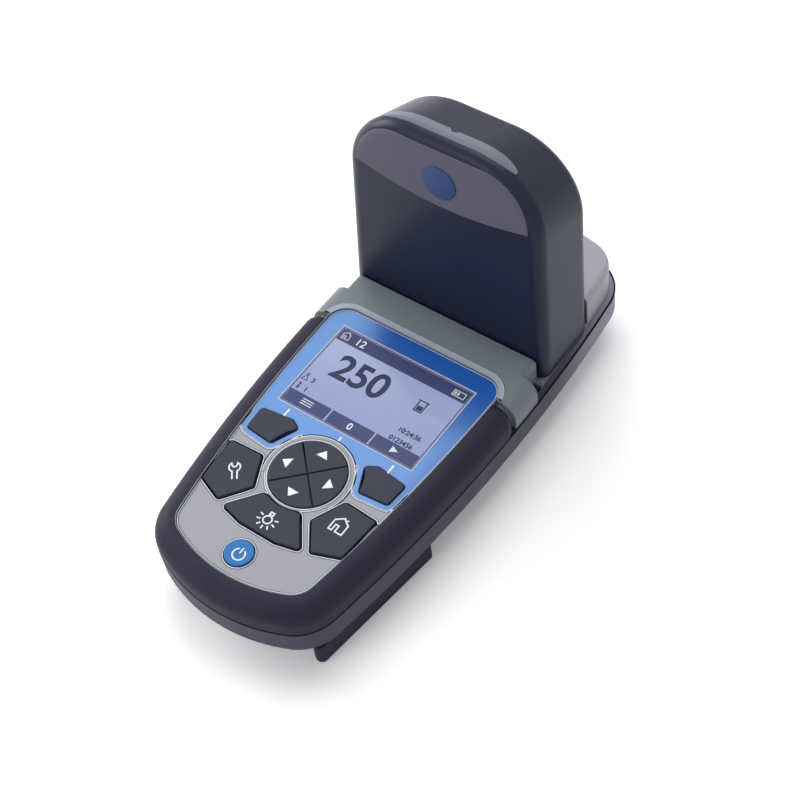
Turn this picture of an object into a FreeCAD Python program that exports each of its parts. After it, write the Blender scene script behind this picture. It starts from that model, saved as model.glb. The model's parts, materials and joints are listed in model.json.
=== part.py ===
import FreeCAD, Part
import Sketcher
import math
import os
import re

# Portable water quality analyzer: a hand-held colorimeter with a light-shield cap
# standing in the slot behind its display. Millimetres.
# Origin: centre of the footprint, on the surface that the instrument stands on.
# +X is to the user's right, +Y away from the user, +Z up.
# Lengths named *_at are measured back from the front tip of the body.

doc = FreeCAD.newDocument("WaterAnalyzer")
sheet = doc.addObject("Spreadsheet::Sheet", "dims")
SIZES = {
    "body_len": 215.5,          # overall length of the casing
    "body_width": 97.4,         # overall width of the casing
    "widest_at": 130.0,         # where the gently bowed sides are widest
    "front_bow": 70.0,          # plan radius of the front end
    "side_bow": 690.0,          # plan radius of the long sides
    "rear_bow": 150.0,          # plan radius of the rear end
    "front_corner": 19.0,       # plan radius of the front corners
    "rear_corner": 18.0,        # plan radius of the rear corners
    "foot_height": 4.2,         # how far feet and rails stand below the floor
    "parting_height": 26.5,     # joint between lower and upper casing
    "deck_height": 39.5,        # top of the deck
    "rear_height": 42.0,        # top of the rear block
    "rear_crease_at": 198.0,    # crease across the rear block's top
    "rear_fall": 6.0,           # fall of the top behind the crease, degrees
    "rear_round": 2.6,          # rounding along the rear block's rim
    "wall": 2.2,                # casing wall
    "bilge": 12.0,              # bevel along the bottom edge of the lower casing
    "ledge": 2.6,               # top-facing ledge beside the rear block
    "bumper_skin": 2.6,         # thickness of the rubber on the sides
    "bumper_lip": 8.8,          # how far the rubber folds over the deck
    "bumper_fold": 2.4,         # thickness of the rubber on the deck
    "bumper_round": 8.0,        # rounding along the rubber's top outer edge
    "bumper_bevel": 3.2,        # bevel under that rounding, on the casing inside
    "bumper_end_at": 124.0,     # rear ends of the rubber
    "bumper_end_round": 5.0,    # rounding of those ends
    "shoulder_end_at": 139.0,   # where the full-width shoulder steps in to the neck
    "neck_width": 85.0,         # width of the neck
    "neck_round": 2.2,          # rounding along the neck's top edges
    "slot_at": 147.3,           # front of the cap slot
    "slot_len": 34.6,           # length of the cap slot, front to rear
    "slot_floor": 2.0,          # thickness of the slot's floor
    "recess_depth": 1.5,        # depth of the panel recess in the deck
    "recess_end_at": 131.5,     # rear edge of the panel recess
    "recess_corner": 8.0,       # corner radius of the recess at the rear
    "film": 0.9,                # thickness of label and display panel
    "split_at": 72.0,           # boundary between the label and the display panel
    "split_margin": 2.6,        # display panel round the soft keys
    "seat_gap": 0.2,            # clearance round label, panel and glass
    "lcd_width": 62.2,          # border of the display
    "lcd_len": 41.4,            # border of the display, front to rear
    "lcd_at": 102.0,            # centre of the display
    "glass_thick": 1.2,         # thickness of the display window
    "pad_at": 59.2,             # centre of the direction pad
    "pad_radius": 14.9,         # outer radius of the direction pad
    "pad_groove": 1.1,          # groove between the direction keys
    "soft_x": 25.1,             # soft keys, from the middle
    "soft_at": 69.6,            # soft keys
    "power_at": 18.8,           # power key
    "power_radius": 6.0,        # power key
    "key_gap": 0.35,            # clearance round each key
    "way_tall": 12.0,           # reach of plain clearance holes
    "key_rise": 1.4,            # how far the keys stand above the label
    "key_bevel": 0.45,          # bevel round a key's top
    "key_flange": 1.0,          # width of the flange that keeps a key in
    "flange_thick": 1.0,        # thickness of that flange
    "key_travel": 0.9,          # key travel
    "deck_thick": 3.2,          # thickness of the deck at the keys
    "dome_thick": 0.4,          # thickness of a dome switch
    "dome_radius": 3.0,         # radius of a dome switch
    "board_thick": 1.6,         # circuit board
    "board_width": 66.0,        # circuit board
    "board_start_at": 13.0,     # circuit board
    "board_end_at": 130.0,      # circuit board
    "bore_radius": 12.8,        # bore for a one-inch sample cell
    "bore_depth": 31.0,         # depth of the bore
    "holder_width": 36.0,       # width of the cell holder block
    "holder_top": 45.5,         # top of the cell holder
    "cap_clear": 0.4,           # clearance between cap and slot
    "cap_depth": 33.0,          # cap, front to rear
    "cap_reach": 10.0,          # how far its arch is drawn past the base before trimming
    "cap_width": 92.0,          # cap, at its rim
    "cap_top": 133.0,           # top of the cap's front edge
    "cap_shoulder": 31.0,       # shoulder radius of the cap's arch
    "cap_round": 5.0,           # rounding along the cap's face and rear edges
    "cap_wall": 1.8,            # wall of the cap
    "cap_lean": 3.3,            # draft of the cap's face, degrees
    "cap_draft": 2.4,           # draft of the cap's sides, degrees
    "rim_height": 4.5,          # height of the locating ribs in the slot
    "rim_gap": 1.2,             # gap from the ribs to the tapering cap
    "badge_radius": 7.4,        # round spot on the cap
    "badge_height": 109.5,      # round spot on the cap
    "badge_thick": 0.5,         # round spot on the cap
    "rail_width": 5.0,          # foot rails
    "rail_front_at": 14.0,      # foot rails
    "rail_rear_at": 75.0,       # foot rails
    "rail_front_in": 15.2,      # rails' front ends inside the casing's width
    "rail_rear_in": 7.7,        # rails' rear ends inside the casing's width
    "rail_height": 11.0,        # foot rails
    "foot_radius": 6.0,         # rear feet
    "foot_x": 30.0,             # rear feet
    "foot_at": 178.0,           # rear feet
    "cell_radius": 7.25,        # battery cells
    "cell_length": 50.5,        # battery cells
    "bay_at": 92.0,             # centre of the battery bay
    "bay_clear": 0.6,           # clearance round the battery cells
    "bay_wall": 1.6,            # walls of the battery bay
    "door_width": 65.0,         # battery door
    "door_thick": 2.0,          # battery door
    "door_corner": 5.0,         # battery door
    "screw_radius": 1.5,        # shank of a casing screw
    "head_radius": 2.8,         # head of a casing screw
    "head_height": 2.0,         # head of a casing screw
    "contact_gap": 2.5,         # room for a contact at each end of a cell
    "gasket_thick": 0.6,        # seal under the battery door
    "door_boss": 3.4,           # radius of a door screw's boss
    "post_radius": 4.0,         # radius of a casing screw's post
    "front_screw_x": 24.0,      # casing screws
    "front_screw_at": 27.0,     # casing screws
    "mid_screw_x": 33.0,        # casing screws
    "mid_screw_at": 141.0,      # casing screws
    "rear_screw_x": 24.0,       # casing screws
    "rear_screw_at": 195.0,     # casing screws
    "screw_length": 26.0,       # shank of a casing screw
    "seal_width": 0.8,          # casing seal
    "seal_depth": 0.8,          # casing seal
    "pocket_floor": 2.4,        # floor thickness under the cell holder
    "beam_height": 9.0,         # light path above the bottom of the bore
    "window_radius": 2.5,       # windows of the light path
    "window_thick": 1.5,        # windows of the light path
    "mouth_bevel": 0.9,         # bevel round the mouth of the bore
    "optic_board": 16.0,        # lamp and detector boards
    "side_key_x": 26.3,         # settings and home keys
    "side_key_at": 44.6,        # settings and home keys
    "light_at": 35.6,           # light key
    "key_corner": 1.4,          # corner rounding of the shaped keys
    "key_play": 0.3,            # play of a key under the deck
    "key_free": 0.25,           # gap left when a key is fully down
    "holder_depth": 27.6,       # cell holder, front to rear
    "bore_shift": 0.5,          # bore behind the middle of the cap
    "rib_thick": 1.8,           # thickness of the side ribs that locate the cap
    "cap_fall": 13.5,           # fall of the cap's top to the rear
}
for row, (alias, number) in enumerate(SIZES.items(), 1):
    sheet.set("A%d" % row, alias)
    sheet.set("B%d" % row, str(number))
    sheet.setAlias("B%d" % row, alias)
doc.recompute()


NEAR = 1e-3                     # slack for picking edges by their place


def bound(text):
    """Write a formula over size names as one that refers to the sheet."""
    def swap(match):
        word = match.group(0)
        return "dims." + word if word in SIZES else word
    return re.sub(r"[a-z_]+", swap, str(text))


def num(text):
    value = sheet.evalExpression(bound(text))
    return float(getattr(value, "Value", value))


def bind(obj, **formulas):
    for prop, text in formulas.items():
        obj.setExpression(prop.replace("_at_", "."), bound(text))


def place(obj, x, y, z):
    for axis, text in (("x", x), ("y", y), ("z", z)):
        obj.setExpression("Placement.Base." + axis, bound(text))


def box(name, x, y, z, lx, ly, lz):
    """Box centred on x, from y back by ly, from z up by lz."""
    obj = doc.addObject("Part::Box", name)
    bind(obj, Length=lx, Width=ly, Height=lz)
    place(obj, "(%s) - (%s) / 2" % (x, lx), "(%s) - body_len / 2" % y, z)
    return obj


def cyl(name, x, y, z, r, tall):
    obj = doc.addObject("Part::Cylinder", name)
    bind(obj, Radius=r, Height=tall)
    place(obj, x, "(%s) - body_len / 2" % y, z)
    return obj


def rod(name, x, y, z, r, long, turn):
    """Cylinder lying along X (turn 'x') or Y (turn 'y')."""
    obj = cyl(name, x, y, z, r, long)
    axis = FreeCAD.Vector(0, 1, 0) if turn == "x" else FreeCAD.Vector(-1, 0, 0)
    obj.Placement.Rotation = FreeCAD.Rotation(axis, 90)
    return obj


def cut(name, base, *tools):
    obj = base
    for i, tool in enumerate(tools):
        last = i == len(tools) - 1
        step = doc.addObject("Part::Cut", name if last else name + "Step")
        step.Base = obj
        step.Tool = tool
        obj = step
    obj.Refine = True
    return obj


def fuse(name, *parts):
    obj = doc.addObject("Part::MultiFuse", name)
    obj.Shapes = list(parts)
    obj.Refine = True
    return obj


def common(name, *parts):
    obj = doc.addObject("Part::MultiCommon", name)
    obj.Shapes = list(parts)
    return obj


def edges_of(obj, test):
    doc.recompute()
    return [i + 1 for i, e in enumerate(obj.Shape.Edges) if test(e)]


def fillet(name, base, radius, test):
    obj = doc.addObject("Part::Fillet", name)
    obj.Base = base
    r = num(radius)
    obj.Edges = [(i, r, r) for i in edges_of(base, test)]
    return obj


def chamfer(name, base, size, test):
    obj = doc.addObject("Part::Chamfer", name)
    obj.Base = base
    c = num(size)
    obj.Edges = [(i, c, c) for i in edges_of(base, test)]
    return obj


def upright(e):
    box_ = e.BoundBox
    return box_.ZLength > 0.5 and box_.XLength < NEAR and box_.YLength < NEAR


def level(z):
    def test(e):
        b = e.BoundBox
        return abs(b.ZMin - z) < NEAR and abs(b.ZMax - z) < NEAR
    return test


def outline(name, inset, z0, z1):
    """Solid with the casing's plan outline, drawn in by inset."""
    tall = "(%s) - (%s)" % (z1, z0)
    front = cyl(name + "Front", "0", "front_bow", z0, "front_bow - (%s)" % inset, tall)
    left = cyl(name + "Left", "side_bow - body_width / 2", "widest_at", z0,
               "side_bow - (%s)" % inset, tall)
    right = cyl(name + "Right", "body_width / 2 - side_bow", "widest_at", z0,
                "side_bow - (%s)" % inset, tall)
    rear = cyl(name + "Rear", "0", "body_len - rear_bow", z0, "rear_bow - (%s)" % inset, tall)
    reach = box(name + "Reach", "0", "0", z0, "body_width", "body_len", tall)
    whole = common(name + "Plan", left, right, reach)
    half_front = box(name + "HalfF", "0", "0", z0, "body_width", "front_bow", tall)
    nose = common(name + "Nose", whole, front, half_front)
    half_rear = box(name + "HalfR", "0", "front_bow", z0, "body_width",
                    "body_len - front_bow", tall)
    tail = common(name + "Tail", whole, rear, half_rear)
    body = fuse(name + "Body", nose, tail)
    obj = doc.addObject("Part::Fillet", name)
    obj.Base = body
    doc.recompute()
    picked = []
    rf = num("front_corner - (%s)" % inset)
    rr = num("rear_corner - (%s)" % inset)
    for i, e in enumerate(body.Shape.Edges):
        if upright(e):
            r = rf if e.BoundBox.YMin < 0 else rr
            picked.append((i + 1, r, r))
    obj.Edges = picked
    return obj


def flat_edges(e, z):
    b = e.BoundBox
    return abs(b.ZMin - num(z)) < NEAR and abs(b.ZMax - num(z)) < NEAR


def span(name, y0, y1, z0, z1):
    """Full-width block between two stations, used to limit or trim a shape."""
    return box(name, "0", y0, z0, "body_width + 20", "(%s) - (%s)" % (y1, y0),
               "(%s) - (%s)" % (z1, z0))


# the bore stands in the middle of the cap, a little back from its leaning face
BORE_AT = "(slot_at + cap_clear + cap_depth / 2 + bore_shift)"

# lower casing
FLOOR = "foot_height"
RIM = "parting_height"
hull = chamfer("LowerHull", outline("LowerOuter", "0", FLOOR, RIM), "bilge", level(num(FLOOR)))
hold = chamfer("LowerHold", outline("LowerInner", "wall", "foot_height + wall", RIM), "bilge - 1",
               level(num("foot_height + wall")))
throat = outline("LowerThroat", "wall + bumper_skin + 0.4", "parting_height - 6", "parting_height + 1")
deep = common("LowerDeep", hold, span("LowerDeepSpan", "0", "body_len", "0", "parting_height - 3"))
mouth = common("LowerMouth", throat, span("LowerMouthSpan", "0", "shoulder_end_at - 3", "0",
                                          "parting_height + 1"))
throat_rear = outline("LowerThroatRear", "wall + 6.6", "parting_height - 6", "parting_height + 1")
mouth_rear = common("LowerMouthRear", throat_rear,
                    span("LowerMouthRearSpan", "shoulder_end_at - 4", "body_len", "0",
                         "parting_height + 1"))

# battery bay: four cells side by side behind a screwed door in the floor
BAY_L = "cell_length + 2 * contact_gap"
BAY_W = "8 * cell_radius + 2 * bay_clear"
CELL_Z = "foot_height + door_thick + gasket_thick + bay_clear + cell_radius"
BAY_TOP = "foot_height + door_thick + gasket_thick + 2 * bay_clear + 2 * cell_radius"
bay_box = box("BayBox", "0", "bay_at - (%s) / 2 - bay_wall" % BAY_L, FLOOR,
              "%s + 2 * bay_wall" % BAY_W, "%s + 2 * bay_wall" % BAY_L,
              "%s + bay_wall - foot_height" % BAY_TOP)
bay_room = box("BayRoom", "0", "bay_at - (%s) / 2" % BAY_L, "0", BAY_W, BAY_L, BAY_TOP)
DOOR_SCREW = "(%s) / 2 + bay_wall + door_boss + 0.4" % BAY_L
DOOR_LEN = "2 * (%s) + 2 * door_boss" % DOOR_SCREW


def door_shape(name, gap, z, tall):
    blank = box(name + "Blank", "0", "bay_at - (%s) / 2 - (%s)" % (DOOR_LEN, gap), z,
                "door_width + 2 * (%s)" % gap, "%s + 2 * (%s)" % (DOOR_LEN, gap), tall)
    return fillet(name, blank, "door_corner + (%s)" % gap, upright)


door_seat = door_shape("DoorSeat", "seat_gap", "0", "foot_height + door_thick + gasket_thick")
bosses = []
boss_holes = []
door_holes = []
door_screw_parts = []
for i, side in enumerate(("-", "+")):
    y = "bay_at %s (%s)" % (side, DOOR_SCREW)
    tag = "DoorBoss%d" % i
    bosses.append(cyl(tag, "0", y, "foot_height + door_thick + gasket_thick", "door_boss", "9"))
    boss_holes.append(cyl(tag + "Hole", "0", y, "0", "screw_radius", "foot_height + 10"))
    door_holes.append(cyl(tag + "Way", "0", y, "0", "screw_radius + 0.3", "way_tall"))
    door_holes.append(cyl(tag + "Sink", "0", y, "0", "head_radius + 0.3", "foot_height + 1"))
    door_screw_parts.append(cyl(tag + "Head", "0", y, "foot_height + 0.1", "head_radius", "0.9"))
    door_screw_parts.append(cyl(tag + "Shank", "0", y, "foot_height + 1", "screw_radius", "8"))

# six casing screws, driven up from the floor into bosses of the upper casing
POSTS = (("front_screw_x", "front_screw_at"), ("mid_screw_x", "mid_screw_at"),
         ("rear_screw_x", "rear_screw_at"))
posts, post_ways, casing_screw_parts, top_bosses, top_pilots, post_clear = [], [], [], [], [], []
for i, (sx, sy) in enumerate(POSTS):
    for j, sign in enumerate(("-", "")):
        x = sign + sx
        tag = "Post%d%d" % (i, j)
        posts.append(cyl(tag, x, sy, FLOOR, "post_radius", "parting_height - foot_height"))
        post_ways.append(cyl(tag + "Way", x, sy, "0", "screw_radius + 0.2", "parting_height + 1"))
        post_ways.append(cyl(tag + "Sink", x, sy, "0", "head_radius + 0.3",
                             "foot_height + 1 + head_height"))
        casing_screw_parts.append(cyl(tag + "Head", x, sy, "foot_height + 1", "head_radius",
                                      "head_height"))
        casing_screw_parts.append(cyl(tag + "Shank", x, sy, "foot_height + 1 + head_height",
                                      "screw_radius", "screw_length"))
        ceiling = "rear_height - 1" if sy == "rear_screw_at" else "deck_height - 2"
        top_bosses.append(cyl(tag + "Top", x, sy, RIM, "post_radius", ceiling + " - parting_height"))
        top_pilots.append(cyl(tag + "Pilot", x, sy, "parting_height - 1", "screw_radius",
                              "screw_length + foot_height + 2 + head_height - parting_height"))
        post_clear.append(cyl(tag + "Clear", x, sy, RIM, "post_radius + 0.5", "way_tall"))

seal_outer = outline("SealOuter", "wall + 0.9", "parting_height - seal_depth", RIM)
seal_inner = outline("SealInner", "wall + 0.9 + seal_width", "parting_height - seal_depth - 1",
                     "parting_height + 1")
casing_gasket = cut("casing_gasket", seal_outer, seal_inner)

well_support = box("WellSupport", "0", BORE_AT + " - holder_depth / 2 - 2", FLOOR,
                   "holder_width + 4", "holder_depth + 4", "pocket_floor")
bay_frame = door_shape("BayFrame", "bay_wall + seat_gap", FLOOR, "door_thick + gasket_thick + wall")
solid_low = fuse("LowerSolid", cut("LowerShell", hull, deep, mouth, mouth_rear), bay_box, bay_frame,
                 *posts)
solid_low = fuse("LowerWithBosses", solid_low, well_support, *bosses)
lower_casing = cut("lower_casing", solid_low, bay_room, door_seat,
                   fuse("LowerHoles", *(post_ways + boss_holes)), casing_gasket)

door_plate = door_shape("DoorPlate", "0", FLOOR, "door_thick")
grips = []
for i in range(4):
    grips.append(box("DoorGrip%d" % i, "0", "bay_at + %d * 3 - 5.1" % i, "0", "22", "1.2",
                     "foot_height + 0.6"))
battery_door = cut("battery_door", door_plate, fuse("DoorGrips", *grips), fuse("DoorHoles", *door_holes))
door_screws = fuse("door_screws", *door_screw_parts)
ring_out = door_shape("DoorRingOut", "0", "foot_height + door_thick", "gasket_thick")
ring_in = box("DoorRingIn", "0", "bay_at - (%s) / 2" % BAY_L, "0", BAY_W, BAY_L, "20")
door_gasket = cut("door_gasket", ring_out, ring_in, fuse("GasketHoles", *[
    cyl("GasketHole%d" % i, "0", "bay_at %s (%s)" % (s_, DOOR_SCREW), "0", "screw_radius + 0.3", "way_tall")
    for i, s_ in enumerate(("-", "+"))]))
casing_screws = fuse("casing_screws", *casing_screw_parts)

cells = []
contacts = []
for i in range(4):
    x = "(%d - 1.5) * 2 * cell_radius" % i
    cells.append(rod("Cell%d" % i, x, "bay_at - cell_length / 2", CELL_Z, "cell_radius - 0.1",
                     "cell_length - 1.5", "y"))
    cells.append(rod("CellTip%d" % i, x, "bay_at + cell_length / 2 - 1.5", CELL_Z, "2.7", "1.5", "y"))
    contacts.append(box("ContactF%d" % i, x, "bay_at - (%s) / 2" % BAY_L,
                        "%s - 4" % CELL_Z, "9", "contact_gap", "8"))
    contacts.append(box("ContactR%d" % i, x, "bay_at + cell_length / 2", "%s - 4" % CELL_Z,
                        "9", "contact_gap", "8"))
battery_cells = fuse("battery_cells", *cells)
battery_contacts = fuse("battery_contacts", *contacts)

# rails under the front half and two pads under the rear
rails = []
for j, sign in enumerate((-1, 1)):
    rail = doc.addObject("Part::Box", "Rail%d" % j)
    bind(rail, Width="rail_rear_at - rail_front_at", Length="rail_width", Height="rail_height")
    slope = math.degrees(math.atan2(num("rail_front_in - rail_rear_in"),
                                    num("rail_rear_at - rail_front_at")))
    rail.Placement.Rotation = FreeCAD.Rotation(FreeCAD.Vector(0, 0, 1), -sign * slope)
    place(rail, "%d * (body_width / 2 - rail_front_in) - rail_width / 2" % sign, "rail_front_at - body_len / 2", "0")
    ends = fillet("RailEnds%d" % j, rail, "rail_width / 2 - 0.2", upright)
    rails.append(chamfer("RailRound%d" % j, ends, "0.8", lambda e: flat_edges(e, "0")))
foot_rails = cut("foot_rails", fuse("RailPair", *rails), hull)
pads = []
for j, sign in enumerate(("-", "")):
    pad = cyl("RearPad%d" % j, sign + "foot_x", "foot_at", "0", "foot_radius", "foot_height")
    pads.append(chamfer("RearPadRound%d" % j, pad, "0.5", lambda e: flat_edges(e, "0")))
rear_feet = fuse("rear_feet", *pads)

# upper casing
DECK = "deck_height"
SHELF = "deck_height - bumper_fold"
core = common("UpperCore", chamfer("UpperCoreB", outline("UpperCoreO", "bumper_skin", RIM, SHELF),
                                   "bumper_bevel", level(num(SHELF))),
              span("UpperCoreS", "0", "shoulder_end_at", RIM, SHELF))
table = common("UpperTable", outline("UpperTableO", "bumper_lip", RIM, DECK),
               span("UpperTableS", "0", "shoulder_end_at", RIM, DECK))
full = outline("UpperFullO", "0.3", RIM, DECK)
full_round = fillet("UpperFullR", full, "bumper_round", level(num(DECK)))
shoulders = common("UpperShoulders", full_round,
                   span("UpperShoulderS", "bumper_end_at + 0.2", "shoulder_end_at", RIM, DECK))
neck_raw = box("NeckRaw", "0", "shoulder_end_at - 6", RIM, "neck_width",
               "slot_at - shoulder_end_at + 6", "deck_height - parting_height")
neck = fillet("Neck", neck_raw, "neck_round",
              lambda e: flat_edges(e, DECK) and e.BoundBox.XLength < NEAR)
floor_raw = common("SlotFloor", outline("SlotFloorO", "ledge", RIM, "parting_height + slot_floor"),
                   span("SlotFloorS", "slot_at - 2", "slot_at + slot_len + 3", "0", "60"))
rear_raw = outline("RearO", "ledge", RIM, "rear_height")
rear_soft = fillet("RearR", rear_raw, "rear_round", level(num("rear_height")))
fall = box("RearFall", "0", "rear_crease_at", "rear_height", "body_width", "body_len", "20")
fall.Placement.Rotation = FreeCAD.Rotation(FreeCAD.Vector(1, 0, 0), -num("rear_fall"))
rear_top = cut("RearCut", rear_soft, fall)
rear_block = common("RearBlock", rear_top,
                    span("RearS", "slot_at + slot_len - 1", "body_len", RIM, "rear_height"))
foot_print = fillet("CapRoom", box("CapRoomRaw", "0", "slot_at + cap_clear - 0.4",
                                   "parting_height + slot_floor", "cap_width + 2 * cap_clear",
                                   "slot_len", "40"), "cap_round + cap_clear", upright)
upper_solid = fuse("UpperSolid", core, table, shoulders, neck, floor_raw, rear_block)

# hollow of the front half, of the neck and of the rear block
low_room = common("UpperRoomLow", outline("UpperRoomLowO", "bumper_skin + wall", "parting_height - 1",
                                          "deck_height - bumper_fold - wall"),
                  span("UpperRoomLowS", "0", "shoulder_end_at - wall", "0", "60"))
high_room = common("UpperRoomHigh", outline("UpperRoomHighO", "bumper_lip - 1", "parting_height - 1",
                                            "deck_height - deck_thick"),
                   span("UpperRoomHighS", "0", "shoulder_end_at - wall", "0", "60"))
neck_room = box("NeckRoom", "0", "shoulder_end_at - 8", "parting_height - 1",
                "neck_width - 2 * wall", "slot_at - wall - shoulder_end_at + 8",
                "deck_height - deck_thick - parting_height + 1")
rear_room = common("RearRoom", outline("RearRoomO", "ledge + wall", "parting_height - 1",
                                       "rear_height - wall"),
                   span("RearRoomS", "slot_at + slot_len + wall", "body_len", "0", "60"))
slot_room = box("SlotRoom", "0", BORE_AT + " - holder_depth / 2 - seat_gap", "parting_height - 1",
                "holder_width + 2 * seat_gap", "holder_depth + 2 * seat_gap", "slot_floor + 2")

# two locating ribs that the cap drops over, one at each side
rim_out = chamfer("RimOut", box("RimOutRaw", "0", "slot_at + cap_clear + cap_wall + rim_gap",
                                "parting_height + slot_floor",
                                "cap_width - 2 * cap_wall - 2 * rim_gap",
                                "cap_depth - 2 * cap_wall - 2 * rim_gap", "rim_height"),
                  "cap_round - cap_wall", upright)
rim_in = box("RimIn", "0", "slot_at", "parting_height + slot_floor",
             "cap_width - 2 * cap_wall - 2 * rim_gap - 2 * rib_thick", "slot_len", "rim_height + 1")
rim = cut("SlotRim", rim_out, rim_in)


def recess(name, gap, z, tall):
    blank = common(name + "Blank", outline(name + "O", "bumper_lip + 0.4 + (%s)" % gap, z,
                                           "(%s) + (%s)" % (z, tall)),
                   span(name + "S", "0", "recess_end_at - (%s)" % gap, "0", "60"))
    return fillet(name, blank, "recess_corner - (%s)" % gap,
                  lambda e: upright(e) and e.BoundBox.YMin > 0)


BED = "deck_height - recess_depth"
deck_recess = recess("DeckRecess", "0", BED, "recess_depth + 1")
lcd_way = box("LcdWay", "0", "lcd_at - lcd_len / 2", "deck_height - deck_thick - 1",
              "lcd_width", "lcd_len", "10")

# keys
TOP = "deck_height - recess_depth + film + key_rise"
FLANGE_TOP = "deck_height - deck_thick - key_play"
STEM = "%s - (%s) + flange_thick" % (TOP, FLANGE_TOP)


def drawn(name, points, x, y, mirror=1):
    """Closed outline of straight lines about a key's own middle."""
    sk = doc.addObject("Sketcher::SketchObject", name)
    pts = [FreeCAD.Vector(mirror * px, py, 0) for px, py in points]
    for a, b in zip(pts, pts[1:] + pts[:1]):
        sk.addGeometry(Part.LineSegment(a, b), False)
    n = len(pts)
    for i in range(n):
        sk.addConstraint(Sketcher.Constraint("Coincident", i, 2, (i + 1) % n, 1))
    place(sk, x, "(%s) - body_len / 2" % y, "0")
    return sk


def swept(name, sk, grow, z, tall):
    """The outline grown by grow with rounded corners, raised from z."""
    off = doc.addObject("Part::Offset2D", name + "Line")
    off.Source = sk
    off.Join = 0
    bind(off, Value=grow)
    obj = doc.addObject("Part::Extrusion", name)
    obj.Base = off
    obj.DirMode = "Custom"
    obj.Dir = FreeCAD.Vector(0, 0, 1)
    obj.Solid = True
    bind(obj, LengthFwd=tall)
    obj.setExpression("Placement.Base.z", bound(z))
    return obj


PAD_GAP = "pad_radius + pad_groove"
key_nodes = []
key_holes = []


def plunger(name, x, y):
    return cyl(name + "Foot", x, y, "%s - flange_thick - key_play" % FLANGE_TOP, "2", "1")


key_lines = {}


def shaped_key(label, points, x, y, mirror=1, ring=False):
    sk = drawn(label + "Line", points, x, y, mirror)
    key_lines[label] = sk
    stem = swept(label + "Stem", sk, "key_corner", "%s - flange_thick" % FLANGE_TOP, STEM)
    lip = swept(label + "Lip", sk, "key_corner + key_flange", "%s - flange_thick" % FLANGE_TOP,
                "flange_thick")
    way = swept(label + "Way", sk, "key_corner + key_gap", "deck_height - deck_thick - 1", "way_tall")
    if ring:
        a = cyl(label + "RingA", "0", "pad_at", "0", PAD_GAP + " + key_gap", "60")
        b = cyl(label + "RingB", "0", "pad_at", "0", "pad_radius + key_flange + 0.4", "60")
        c = cyl(label + "RingC", "0", "pad_at", "0", PAD_GAP, "60")
        stem = cut(label + "StemCut", stem, a)
        lip = cut(label + "LipCut", lip, b)
        way = cut(label + "WayCut", way, c)
    soft = chamfer(label + "Soft", stem, "key_bevel", lambda e: flat_edges(e, TOP))
    obj = fuse(label, soft, lip, plunger(label, x, y))
    key_nodes.append(obj)
    key_holes.append(way)
    return obj


SOFT = ((-7.2, 3.3), (4.7, 4.8), (7.5, 3.3), (3.6, -5.2), (-6.6, -4.3))
SIDE = ((6.6, 10.2), (-5.9, 10.9), (-11.4, -0.7), (-4.3, -10.4), (5.3, -6.8))
LIGHT = ((-8.0, 7.0), (8.0, 7.0), (16.1, -3.4), (8.0, -5.3), (-8.0, -5.3), (-16.1, -3.4))
soft_key_left = shaped_key("soft_key_left", SOFT, "-soft_x", "soft_at")
soft_key_right = shaped_key("soft_key_right", SOFT, "soft_x", "soft_at", -1)
settings_key = shaped_key("settings_key", SIDE, "-side_key_x", "side_key_at", -1, True)
home_key = shaped_key("home_key", SIDE, "side_key_x", "side_key_at", 1, True)
light_key = shaped_key("light_key", LIGHT, "0", "light_at", 1, True)

power_stem = chamfer("PowerSoft", cyl("PowerStem", "0", "power_at", "%s - flange_thick" % FLANGE_TOP,
                                      "power_radius", STEM), "key_bevel", lambda e: flat_edges(e, TOP))
power_key = fuse("power_key", power_stem,
                 cyl("PowerLip", "0", "power_at", "%s - flange_thick" % FLANGE_TOP,
                     "power_radius + key_flange", "flange_thick"), plunger("power_key", "0", "power_at"))
key_nodes.append(power_key)
key_holes.append(cyl("PowerWay", "0", "power_at", "deck_height - deck_thick - 1",
                     "power_radius + key_gap", "way_tall"))
for label, turn, ux, uy in (("up_key", 90, 0, 1), ("left_key", 180, -1, 0),
                            ("down_key", 270, 0, -1), ("right_key", 0, 1, 0)):
    x = "%d * pad_groove * 0.7071" % ux
    y = "pad_at + %d * pad_groove * 0.7071" % uy
    parts = []
    for tag, r, z, tall in (("Stem", "pad_radius", "%s - flange_thick" % FLANGE_TOP, STEM),
                            ("Lip", "pad_radius + key_flange", "%s - flange_thick" % FLANGE_TOP,
                             "flange_thick")):
        wedge = cyl(label + tag + "W", x, y, z, r, tall)
        wedge.Angle = 90
        wedge.Placement.Rotation = FreeCAD.Rotation(FreeCAD.Vector(0, 0, 1), turn - 45)
        disc = cyl(label + tag + "D", "0", "pad_at", z, r, tall)
        part_ = common(label + tag, wedge, disc)
        if tag == "Stem":
            part_ = chamfer(label + "Soft", part_, "key_bevel", lambda e: flat_edges(e, TOP))
        parts.append(part_)
    parts.append(plunger(label, "%d * pad_radius * 0.6" % ux, "pad_at + %d * pad_radius * 0.6" % uy))
    key_nodes.append(fuse(label, *parts))
key_holes.append(cyl("PadWay", "0", "pad_at", "deck_height - deck_thick - 1", "pad_radius + key_gap", "way_tall"))
all_holes = fuse("KeyWays", *key_holes)

upper_hollow = cut("UpperHollow", upper_solid, fuse("UpperRooms", low_room, high_room, neck_room),
                   rear_room, foot_print, slot_room)
upper_more = fuse("UpperMore", upper_hollow, rim, *top_bosses)
upper_casing = cut("upper_casing", upper_more, deck_recess, lcd_way, all_holes,
                   fuse("UpperPilots", *top_pilots))

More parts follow.
